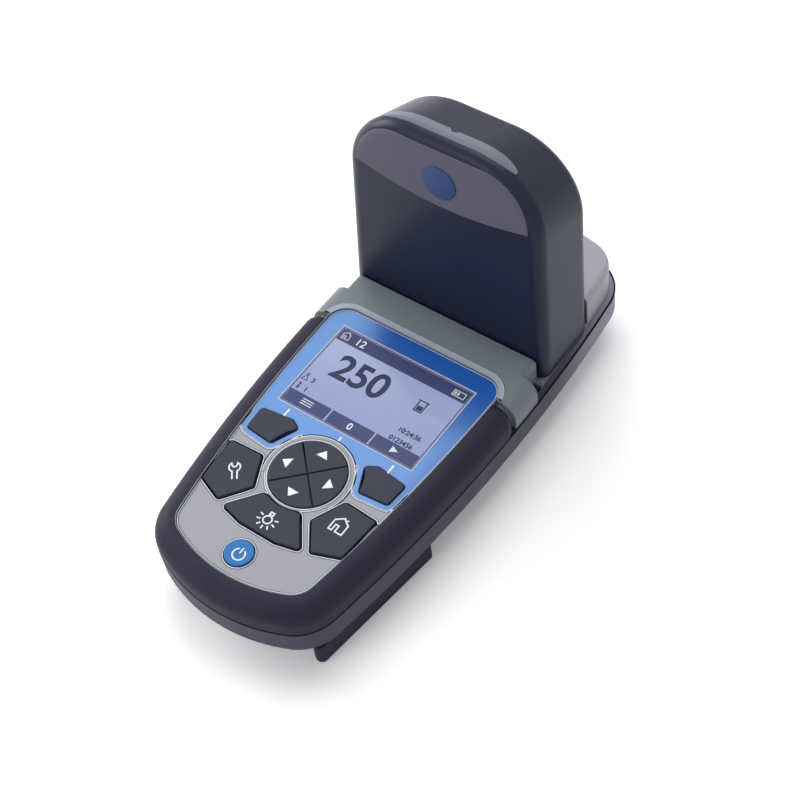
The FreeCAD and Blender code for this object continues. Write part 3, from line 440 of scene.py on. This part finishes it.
def film(name, rings, at, thick, finish, slot, body):
    """Flat film from closed rings; a ring inside another is a hole."""
    curve = bpy.data.curves.new(name, "CURVE")
    curve.dimensions = "2D"
    curve.fill_mode = "BOTH"
    curve.extrude = thick / 2 * MM
    for ring in rings:
        spline = curve.splines.new("POLY")
        spline.points.add(len(ring) - 1)
        for point, (px, py) in zip(spline.points, ring):
            point.co = (px * MM, py * MM, 0, 1)
        spline.use_cyclic_u = True
    settle(name, drawn_mesh(name, curve, 0, 0, at * MM + thick / 2 * MM), finish, slot, body)


def solid(name, verts, faces, finish, slot, body):
    """Piece from points and faces, with its faces turned outwards."""
    mesh = bpy.data.meshes.new(name)
    mesh.from_pydata([(x * MM, y * MM, z * MM) for x, y, z in verts], [], faces)
    shape = bmesh.new()
    shape.from_mesh(mesh)
    bmesh.ops.recalc_face_normals(shape, faces=shape.faces)
    shape.to_mesh(mesh)
    shape.free()
    return settle(name, mesh, finish, slot, body)


def ribbon(name, bands, low, high, finish, slot, body):
    """Closed bands, each between two rings of equally many points."""
    verts, faces = [], []
    for inner, outer in bands:
        n, start = len(inner), len(verts)
        for ring, z in ((inner, low), (inner, high), (outer, high), (outer, low)):
            verts += [(x, y, z) for x, y in ring]
        for i in range(n):
            j = (i + 1) % n
            for k in range(4):
                m = (k + 1) % 4
                faces.append((start + k * n + i, start + k * n + j, start + m * n + j, start + m * n + i))
    solid(name, verts, faces, finish, slot, body)


def ink(name, paths, wide, at, finish, slot, body):
    """Drawn lines of one width, as flat strips with walls; a path that ends where it starts is closed."""
    verts, faces = [], []
    for path in paths:
        points = [Vector(p) for p in path]
        closed = (points[0] - points[-1]).length < 1e-4
        if closed:
            points.pop()
        n, start = len(points), len(verts)
        for i, p in enumerate(points):
            before = points[i - 1] if closed or i > 0 else p
            after = points[(i + 1) % n] if closed or i < n - 1 else p
            ways = [(q - r).normalized() for q, r in ((p, before), (after, p)) if (q - r).length > 1e-5]
            sides = [Vector((-way.y, way.x)) for way in ways]
            side = sum(sides, Vector((0, 0))).normalized()
            reach = wide / 2 / max(INK_MITRE, side.dot(sides[0]))
            for q in (p - side * reach, p + side * reach):
                verts += [(q.x, q.y, at), (q.x, q.y, at + FILM)]
        for i in range(n if closed else n - 1):
            a, b = start + 4 * i, start + 4 * ((i + 1) % n)
            for k, m in ((0, 1), (1, 3), (3, 2), (2, 0)):
                faces.append((a + k, b + k, b + m, a + m))
        if not closed:
            last = start + 4 * (n - 1)
            faces += [(start, start + 1, start + 3, start + 2), (last, last + 2, last + 3, last + 1)]
    solid(name, verts, faces, finish, slot, body)


# Outlines
def arc(cx, cy, r, start, end, steps=40):
    """Points on a circle between two angles in degrees."""
    return [(cx + r * math.cos(math.radians(start + (end - start) * i / steps)),
             cy + r * math.sin(math.radians(start + (end - start) * i / steps)))
            for i in range(steps + 1)]


def slab(x0, y0, x1, y1):
    return [(x0, y0), (x1, y0), (x1, y1), (x0, y1)]


def turned(points, cx, cy, degrees):
    """Points turned about the origin and moved to a centre."""
    a = math.radians(degrees)
    return [(cx + px * math.cos(a) - py * math.sin(a), cy + px * math.sin(a) + py * math.cos(a))
            for px, py in points]


def area(loop):
    return sum(a.x * b.y - b.x * a.y for a, b in zip(loop, loop[1:] + loop[:1])) / 2


def largest(loops):
    return max(loops, key=lambda loop: abs(area(loop)))


def top_of(node):
    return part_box(node)[1].z / MM


def top_loops(node, level):
    """Closed edge loops of a node's level face at that height."""
    shape = bmesh.new()
    shape.from_mesh(frame["nodes"][node].data)
    bmesh.ops.remove_doubles(shape, verts=shape.verts, dist=1e-6)
    tops = {f for f in shape.faces
            if f.normal.z > LEVEL and all(abs(v.co.z / MM - level) < NEAR for v in f.verts)}
    rim = [e for e in shape.edges if sum(f in tops for f in e.link_faces) == 1]
    joined = {}
    for e in rim:
        for v in e.verts:
            joined.setdefault(v, []).append(e)
    loops, used = [], set()
    for first in rim:
        if first in used:
            continue
        start = v = first.verts[0]
        edge, loop = first, []
        while edge is not None:
            used.add(edge)
            loop.append(Vector((v.co.x, v.co.y)) / MM)
            v = edge.other_vert(v)
            if v is start:
                break
            edge = next((e for e in joined[v] if e not in used), None)
        loops.append(loop)
    shape.free()
    return loops


def thinned(loop, gap):
    kept = [loop[0]]
    for p in loop[1:]:
        if (p - kept[-1]).length > gap:
            kept.append(p)
    return kept


def inset_loop(loop, by):
    """Loop moved by a distance: inwards where by is positive."""
    loop = thinned(loop, LEAST_STEP)
    if area(loop) < 0:
        loop = loop[::-1]
    moved = []
    for a, b, c in zip(loop[-1:] + loop[:-1], loop, loop[1:] + loop[:1]):
        n1 = Vector((-(b - a).y, (b - a).x)).normalized()
        n2 = Vector((-(c - b).y, (c - b).x)).normalized()
        n = (n1 + n2).normalized()
        moved.append(b + n * by / max(MITRE, n.dot(n1)))
    return [tuple(p) for p in moved]


def fine(loop, gap=0.6):
    """Loop with no edge longer than the gap."""
    points = []
    for a, b in zip(loop, loop[1:] + loop[:1]):
        steps = max(1, math.ceil((b - a).length / gap))
        points += [a.lerp(b, i / steps) for i in range(steps)]
    return points


deck = top_of("keypad_label")
glass = top_of("lcd_glass")
key_top = top_of("home_key")

# Pale printed lines round the label's edge and round its keys, each with a dark band beside it that is
# painted shade along the edge
LEAST_AREA = 5
LINE_IN, LINE, SHADE = 0.12, 0.32, 0.22
COLLAR, COLLAR_UNDER, COLLAR_DEEP = 0.45, 0.8, 12 * FILM
label_loops = [loop for loop in top_loops("keypad_label", deck) if abs(area(loop)) > LEAST_AREA]
label_loops.sort(key=lambda loop: -abs(area(loop)))
lines, shades, collars = [], [], []
for i, loop in enumerate(label_loops):
    if i == 0:
        offsets = (LINE_IN, LINE_IN + LINE, LINE_IN + LINE + SHADE)
    else:
        edge = COLLAR - LINE_IN
        offsets = (edge, edge - LINE, edge - LINE - SHADE)
        collars.append((inset_loop(loop, -COLLAR_UNDER * COLLAR), inset_loop(loop, COLLAR)))
    steps = [inset_loop(loop, by) for by in offsets]
    lines.append((steps[0], steps[1]))
    shades.append((steps[1], steps[2]))
ribbon("key_collars", collars, deck - COLLAR_DEEP, deck + 0.5 * FILM, label_film, "label_film", "casing")
ribbon("label_lines", lines, deck - FILM, deck + 1.5 * FILM, printed_white, "label_film", "casing")
ribbon("label_shade", shades, deck - FILM, deck + FILM, printed_ink, "label_film", "casing")

PANEL_LINE = (0.1, 0.38)
panel_loop = largest(top_loops("display_panel", deck))
ribbon("panel_lines", [tuple(inset_loop(panel_loop, by) for by in PANEL_LINE)], deck - FILM, deck + FILM,
       printed_pale, "panel_film", "casing")

# Silver ring round the direction pad, and its band where it borders on the panel, with a painted shadow on
# the panel outside it
PAD_Y = (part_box("up_key")[0].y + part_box("down_key")[1].y) / 2 / MM
PAD_MID = Vector((0, PAD_Y))
RING_IN, RING_OUT, RING_TOP, RING_STEPS = 15.15, 16.1, deck + 2 * FILM, 144
RING_LINE = (0.12, 0.42)
BAND_OUT, BAND_EDGE, BAND_SHADE = 17.25, 17.6, 18.15
BAND_FROM, BAND_TO, BAND_STEPS = -27, 207, 100


def circle(radius):
    return arc(0, PAD_Y, radius, 0, 360 - 360 / RING_STEPS, RING_STEPS - 1)


def band(name, near, far, thick, finish):
    """Open band round the upper side of the pad."""
    ring = (arc(0, PAD_Y, near, BAND_FROM, BAND_TO, BAND_STEPS)
            + arc(0, PAD_Y, far, BAND_TO, BAND_FROM, BAND_STEPS))
    film(name, [ring], deck, thick, finish, "label_film", "casing")


ribbon("pad_ring", [(circle(RING_IN), circle(RING_OUT))], deck - 6 * FILM, RING_TOP, label_film,
       "label_film", "casing")
ribbon("pad_ring_line", [tuple(circle(RING_IN + by) for by in RING_LINE)], deck, RING_TOP + FILM,
       printed_white, "label_film", "casing")
band("ring_band", RING_OUT - FILM, BAND_OUT, 2 * FILM, label_film)
band("ring_edge", BAND_OUT, BAND_EDGE, 2 * FILM, printed_white)
band("ring_shadow", BAND_EDGE, BAND_SHADE, FILM, painted_shadow)

# Display frame, and ticks between the display and the keys below it
glass_low, glass_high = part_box("lcd_glass")
gx0, gy0, gx1, gy1 = (v / MM for v in (glass_low.x, glass_low.y, glass_high.x, glass_high.y))


def glass_edge(out):
    """Outline of the display, that far outside it."""
    return slab(gx0 - out, gy0 - out, gx1 + out, gy1 + out)


film("display_frame", [glass_edge(0.55), glass_edge(0.15)], deck, FILM, printed_pale, "panel_film",
     "casing")
TICK = 0.8
TICKS = ((-24.4, -33.0, -28.4), (0.4, -31.0, -28.4), (24.6, -32.8, -28.3))
for i, (x, foot, head) in enumerate(TICKS):
    film("key_tick_%d" % (i + 1), [slab(x - TICK / 2, foot, x + TICK / 2, head)], deck, FILM,
         printed_white, "panel_film", "casing")

# Display content: bars, three soft-key blocks, plain digits and pictograms
MARGIN, HEAD_TALL, BLOCK_TALL, BLOCK_GAP = 0.7, 5.7, 5.8, 0.9
bx0, by0, bx1, by1 = gx0 + MARGIN, gy0 + MARGIN, gx1 - MARGIN, gy1 - MARGIN
block_wide = (bx1 - bx0 - 2 * BLOCK_GAP) / 3
block_left = [bx0 + i * (block_wide + BLOCK_GAP) for i in range(3)]
block_mid = [x + block_wide / 2 for x in block_left]
bar = glass + FILM
on_display = dict(slot="display_glass", body="casing")
on_glass = dict(on_display, at=glass, finish=printed_ink)
on_bar = dict(on_display, at=bar, finish=printed_pale)
filled = dict(on_display, at=glass, thick=FILM, finish=printed_navy)

film("display_rule", [glass_edge(-0.25), glass_edge(-0.5)], **filled)
film("display_head", [slab(bx0, by1 - HEAD_TALL, bx1, by1)], **filled)
for i, x in enumerate(block_left):
    film("display_block_%d" % (i + 1), [slab(x, by0, x + block_wide, by0 + BLOCK_TALL)], **filled)

DIGIT_SHARE = 0.70    # height of a digit against the size of its type
DIGITS = (
    # name, text, left or middle, foot, height, colour, ground, boldness, side
    ("reading", "250", -22.6, -7.2, 11.4, printed_ink, glass, 0.35, "LEFT"),
    ("head_number", "12", -22.6, 9.9, 3.3, printed_white, bar, 0.08, "LEFT"),
    ("clock_digits", "10:24:36", 16.0, -14.6, 2.1, printed_ink, glass, 0.07, "LEFT"),
    ("count_digits", "0123456", 15.2, -19.4, 2.1, printed_ink, glass, 0.07, "LEFT"),
    ("sample_number", "3", -25.8, -14.0, 2.2, printed_ink, glass, 0.07, "LEFT"),
    ("user_number", "1", -25.8, -18.8, 2.2, printed_ink, glass, 0.07, "LEFT"),
    ("zero_mark", "0", block_mid[1], by0 + 1.5, 3.0, printed_white, bar, 0.08, "CENTER"),
)
for name, text, x, y, tall, finish, ground, bold, side in DIGITS:
    curve = bpy.data.curves.new(name, "FONT")
    curve.body = text
    curve.size = tall / DIGIT_SHARE * MM
    curve.offset = bold * MM
    curve.extrude = FILM / 2 * MM
    curve.align_x = side
    curve.resolution_u = 8
    settle(name, drawn_mesh(name, curve, x * MM, y * MM, ground * MM + FILM / 2 * MM), finish, **on_display)


def house(left, foot, wide):
    """Lines of a small house with a doorway and a chimney."""
    wall = [(0, 0), (0, 0.75), (0.5, 1.12), (1, 0.75), (1, 0), (0.5, 0), (0.5, 0.47), (0.25, 0.47),
            (0.25, 0), (0, 0)]
    chimney = [(0.745, 1.02), (0.80, 1.12)]
    return [[(left + wide * px, foot + wide * py) for px, py in line] for line in (wall, chimney)]


ink("head_house", house(-29.0, 9.9, 3.2), 0.4, **on_bar)
film("battery_mark", [slab(23.6, 9.8, 29.2, 12.8), slab(24.0, 10.2, 28.8, 12.4),
                      slab(24.3, 10.5, 25.2, 12.1), slab(25.6, 10.5, 26.5, 12.1)], thick=FILM, **on_bar)
flask = [(-28.9, -11.2), (-28.9, -12.2), (-29.9, -14.2), (-27.3, -14.2), (-28.3, -12.2), (-28.3, -11.2)]
ink("flask_mark", [flask, [(-29.3, -11.0), (-27.9, -11.0)]], 0.3, **on_glass)
film("person_mark", [arc(-28.6, -16.4, 0.55, 0, 350, 14), slab(-29.0, -18.9, -28.2, -17.2)], thick=FILM,
     **on_glass)
ink("cell_mark", [[(15.6, 1.26), (15.6, -3.6), (19.0, -3.6), (19.0, 1.26)], [(14.9, 1.5), (19.7, 1.5)]],
    0.45, **on_glass)
film("cell_level", [slab(16.1, -3.1, 18.5, -0.9)], thick=FILM, **on_glass)
MENU_HALF, MENU_BAR = 2.6, 0.5
menu = [slab(block_mid[0] - MENU_HALF, by0 + h, block_mid[0] + MENU_HALF, by0 + h + MENU_BAR)
        for h in (1.7, 2.8, 3.9)]
film("menu_mark", menu, thick=FILM, **on_bar)
play = [(block_mid[2] - 1.4, by0 + 1.4), (block_mid[2] + 1.9, by0 + 2.95), (block_mid[2] - 1.4, by0 + 4.5)]
film("read_mark", [play], thick=FILM, **on_bar)

# Keys: the frame's outlines, rolled over at the top and sitting low in the label
ROLL, RISE, DIP = 0.4, 0.75, 1.6
BEVEL = 0.45          # bevel of the frame's keys, which their top outline leaves out
key_face = deck + RISE
KEY_RINGS = (
    # inset, height
    (0.0, deck - DIP), (0.0, key_face - ROLL), (0.08 * ROLL, key_face - 0.6 * ROLL),
    (0.3 * ROLL, key_face - 0.3 * ROLL), (0.6 * ROLL, key_face - 0.08 * ROLL), (ROLL, key_face),
)


def key_piece(node, outline, finish=key_rubber, slot="key_rubber"):
    """Key with its given outline and a rolled top edge."""
    verts, faces = [], []
    for by, z in KEY_RINGS:
        ring = inset_loop(outline, by)
        verts += [(x, y, z) for x, y in ring]
    n, last = len(ring), len(KEY_RINGS) - 1
    for k in range(last):
        for i in range(n):
            j = (i + 1) % n
            faces.append((k * n + i, k * n + j, (k + 1) * n + j, (k + 1) * n + i))
    faces.append(tuple(range(n - 1, -1, -1)))
    faces.append(tuple(range(last * n, last * n + n)))
    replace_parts(solid(node + "_top", verts, faces, finish, slot, node + "_body"), node)


def key_outline(node, shrink=0.0):
    return [Vector(p) for p in inset_loop(largest(top_loops(node, key_top)), shrink - BEVEL)]


for node in ("settings_key", "home_key", "light_key"):
    key_piece(node, key_outline(node, COLLAR))
key_piece("power_key", key_outline("power_key", COLLAR), power_rubber, "power_rubber")

SOFT_CLEAR = 21.2     # the soft keys stay this far from the pad's middle
for node in ("soft_key_left", "soft_key_right"):
    hollow = []
    for point in fine(key_outline(node)):
        out_from_pad = point - PAD_MID
        if out_from_pad.length < SOFT_CLEAR:
            point = PAD_MID + out_from_pad.normalized() * SOFT_CLEAR
        hollow.append(point)
    key_piece(node, hollow)

PAD_RADIUS, PAD_GROOVE = 14.85, 0.5
turn = math.degrees(math.asin(PAD_GROOVE / 2 / PAD_RADIUS))
tip = PAD_GROOVE / 2 / math.sin(math.radians(45))
for node, facing in (("right_key", 0), ("up_key", 90), ("left_key", 180), ("down_key", 270)):
    quarter = [(tip * math.cos(math.radians(facing)), PAD_Y + tip * math.sin(math.radians(facing)))]
    quarter += arc(0, PAD_Y, PAD_RADIUS, facing - 45 + turn, facing + 45 - turn, 40)
    key_piece(node, [Vector(p) for p in quarter])

# Pictograms on the keys
LINE_WIDE = 0.6


def on_key(name, paths, node):
    ink(name, paths, LINE_WIDE, key_face, printed_white, "key_rubber", node + "_body")


JAW, GRIP, FORK, SHANK = 2.15, 0.95, 0.95, 5.4
jaw = [(-GRIP, -SHANK)] + arc(0, 0, JAW, 244, 122, 12) + [(-FORK, 1.0)] + arc(0, 1.0, FORK, 180, 360, 8) \
    + [(FORK, 1.0)] + arc(0, 0, JAW, 58, -64, 12) + [(GRIP, -SHANK)]
on_key("wrench_mark", [turned(jaw, -24.9, -60.9, 38)], "settings_key")

LAMP_X, LAMP_Y, BULB, RAY_IN, RAY_OUT = 0.1, -72.5, 1.7, 2.7, 4.3
lamp = [arc(LAMP_X, LAMP_Y, BULB, 0, 360, 24)]
for a in (-162, -126, -90, -54, -18, 18, 162):
    c, s = math.cos(math.radians(a)), math.sin(math.radians(a))
    lamp.append([(LAMP_X + r * c, LAMP_Y + r * s) for r in (RAY_IN, RAY_OUT)])
socket = slab(LAMP_X - 0.75, LAMP_Y + 2.2, LAMP_X + 0.75, LAMP_Y + 3.4)
on_key("lamp_mark", lamp + [socket + socket[:1]], "light_key")

on_key("house_mark", house(20.9, -63.4, 5.8), "home_key")
POWER_X, POWER_Y, POWER_RADIUS = 0.5, -89.6, 2.4
on_key("power_mark", [arc(POWER_X, POWER_Y, POWER_RADIUS, 118, 422, 32),
                      [(POWER_X, POWER_Y + 0.5), (POWER_X, POWER_Y + 3.1)]], "power_key")

ARROW_TIP, ARROW_FOOT, ARROW_HALF = 11.9, 8.5, 2.5
for way, ux, uy in (("up", 0, 1), ("down", 0, -1), ("left", -1, 0), ("right", 1, 0)):
    arrow = [(ARROW_TIP * ux, PAD_Y + ARROW_TIP * uy),
             (ARROW_FOOT * ux - ARROW_HALF * uy, PAD_Y + ARROW_FOOT * uy + ARROW_HALF * ux),
             (ARROW_FOOT * ux + ARROW_HALF * uy, PAD_Y + ARROW_FOOT * uy - ARROW_HALF * ux)]
    film(way + "_mark", [arrow], key_face, FILM, printed_white, "key_rubber", way + "_key_body")

# Raised rim of the upper casing round the rear of the display panel
SHELF = top_of("bumper")
RIM_GAP, RIM_WIDE, RIM_CORNER, RIM_START, RIM_THICK = 0.25, 2.5, 8.2, 17.2, 0.35
panel_x, panel_y = (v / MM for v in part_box("display_panel")[1].xy)


def rim_path(out):
    """Path round the panel's rear corners, that far outside it."""
    x, y, r = panel_x + out, panel_y + out, RIM_CORNER + out
    return ([(x, RIM_START)] + arc(x - r, y - r, r, 0, 90, 16) + arc(r - x, y - r, r, 90, 180, 16)
            + [(-x, RIM_START)])


film("panel_rim", [rim_path(RIM_GAP) + rim_path(RIM_GAP + RIM_WIDE)[::-1]], SHELF - FILM, RIM_THICK,
     bezel_shell, "upper_shell", "casing")

# Dark joint line between the lower casing and what stands on it
PARTING = top_of("lower_casing")
JOINT_IN, JOINT_OUT, JOINT_BELOW, JOINT_ABOVE = 0.5, 0.12, 0.4, 0.35
casing_loop = largest(top_loops("lower_casing", PARTING))
ribbon("joint_line", [(inset_loop(casing_loop, JOINT_IN), inset_loop(casing_loop, -JOINT_OUT))],
       PARTING - JOINT_BELOW, PARTING + JOINT_ABOVE, seal_rubber, "seal_rubber", "casing")

# Cap: thin skins laid on its leaning front and on its top
cap_mesh = frame["nodes"]["cap_shell"].data
cap_faces = BVHTree.FromPolygons([v.co for v in cap_mesh.vertices],
                                 [tuple(f.vertices) for f in cap_mesh.polygons])
SKIN_EDGE = 0.15      # how far a skin's border runs into the surface


def met(start, way):
    """Point of the cap that a ray meets, in millimetres, and the face's normal there."""
    hit, normal = cap_faces.ray_cast(Vector(start), Vector(way))[:2]
    return hit / MM, normal


def cap_front(x, z):
    return met((x * MM, -0.2, z * MM), (0, 1, 0))


def cap_crown(x, y):
    return met((x * MM, y * MM, 0.3), (0, 0, -1))


def skin(name, half, low, high, touch, thick, finish, columns=96, rows=10):
    """Thin skin laid on the cap between two curves; its edges run into the surface."""
    shares = [0.0, 0.02] + [k / rows for k in range(1, rows)] + [0.98, 1.0]
    verts, faces = [], []
    for i in range(columns + 1):
        x = half * math.sin(math.pi * (i / columns - 0.5))
        for k, share in enumerate(shares):
            across = low(x) + (high(x) - low(x)) * share
            point, normal = touch(x, across)
            border = i in (0, columns) or k in (0, len(shares) - 1)
            verts.append(tuple(point + normal * (-SKIN_EDGE if border else thick)))
    n = len(shares)
    for i in range(columns):
        for k in range(n - 1):
            a = i * n + k
            faces.append((a, a + n, a + n + 1, a + 1))
    solid(name, verts, faces, finish, "cap_plastic", "cap")


# Grained field on the upper front, round at its upper corners and sagging at its foot
FIELD_TOP, FIELD_HALF, FIELD_ROUND, FIELD_SAG, FIELD_THICK = 124.6, 38.0, 21.5, 5.8, 0.22
FIELD_FOOT = FIELD_TOP - FIELD_ROUND
FIELD_SWEEP = (FIELD_HALF ** 2 + FIELD_SAG ** 2) / (2 * FIELD_SAG)


def field_low(x):
    return FIELD_FOOT - FIELD_SAG + FIELD_SWEEP - math.sqrt(FIELD_SWEEP ** 2 - x ** 2)


def field_high(x):
    past = max(0.0, abs(x) - (FIELD_HALF - FIELD_ROUND))
    return FIELD_FOOT + math.sqrt(max(0.0, FIELD_ROUND ** 2 - past ** 2))


skin("cap_field", FIELD_HALF, field_low, field_high, cap_front, FIELD_THICK, cap_grained)

# Pale strip on top, its paleness a painted highlight along the cap's top, with a notch near the middle of
# its rear edge
STRIP_HALF, STRIP_FRONT, STRIP_REAR, STRIP_THICK = 29.0, 49.6, 55.8, 0.3
STRIP_FRONT_BEND, STRIP_REAR_BEND = 1.5, 3.0
NOTCH, NOTCH_X = 1.7, 0.8


def strip_low(x):
    return STRIP_FRONT + STRIP_FRONT_BEND * (x / STRIP_HALF) ** 6


def strip_high(x):
    notch = math.sqrt(max(0.0, NOTCH ** 2 - (x - NOTCH_X) ** 2))
    return STRIP_REAR - notch - STRIP_REAR_BEND * (x / STRIP_HALF) ** 8


skin("cap_top_strip_painted_highlight", STRIP_HALF, strip_low, strip_high, cap_crown, STRIP_THICK, cap_strip_painted_highlight, columns=160)
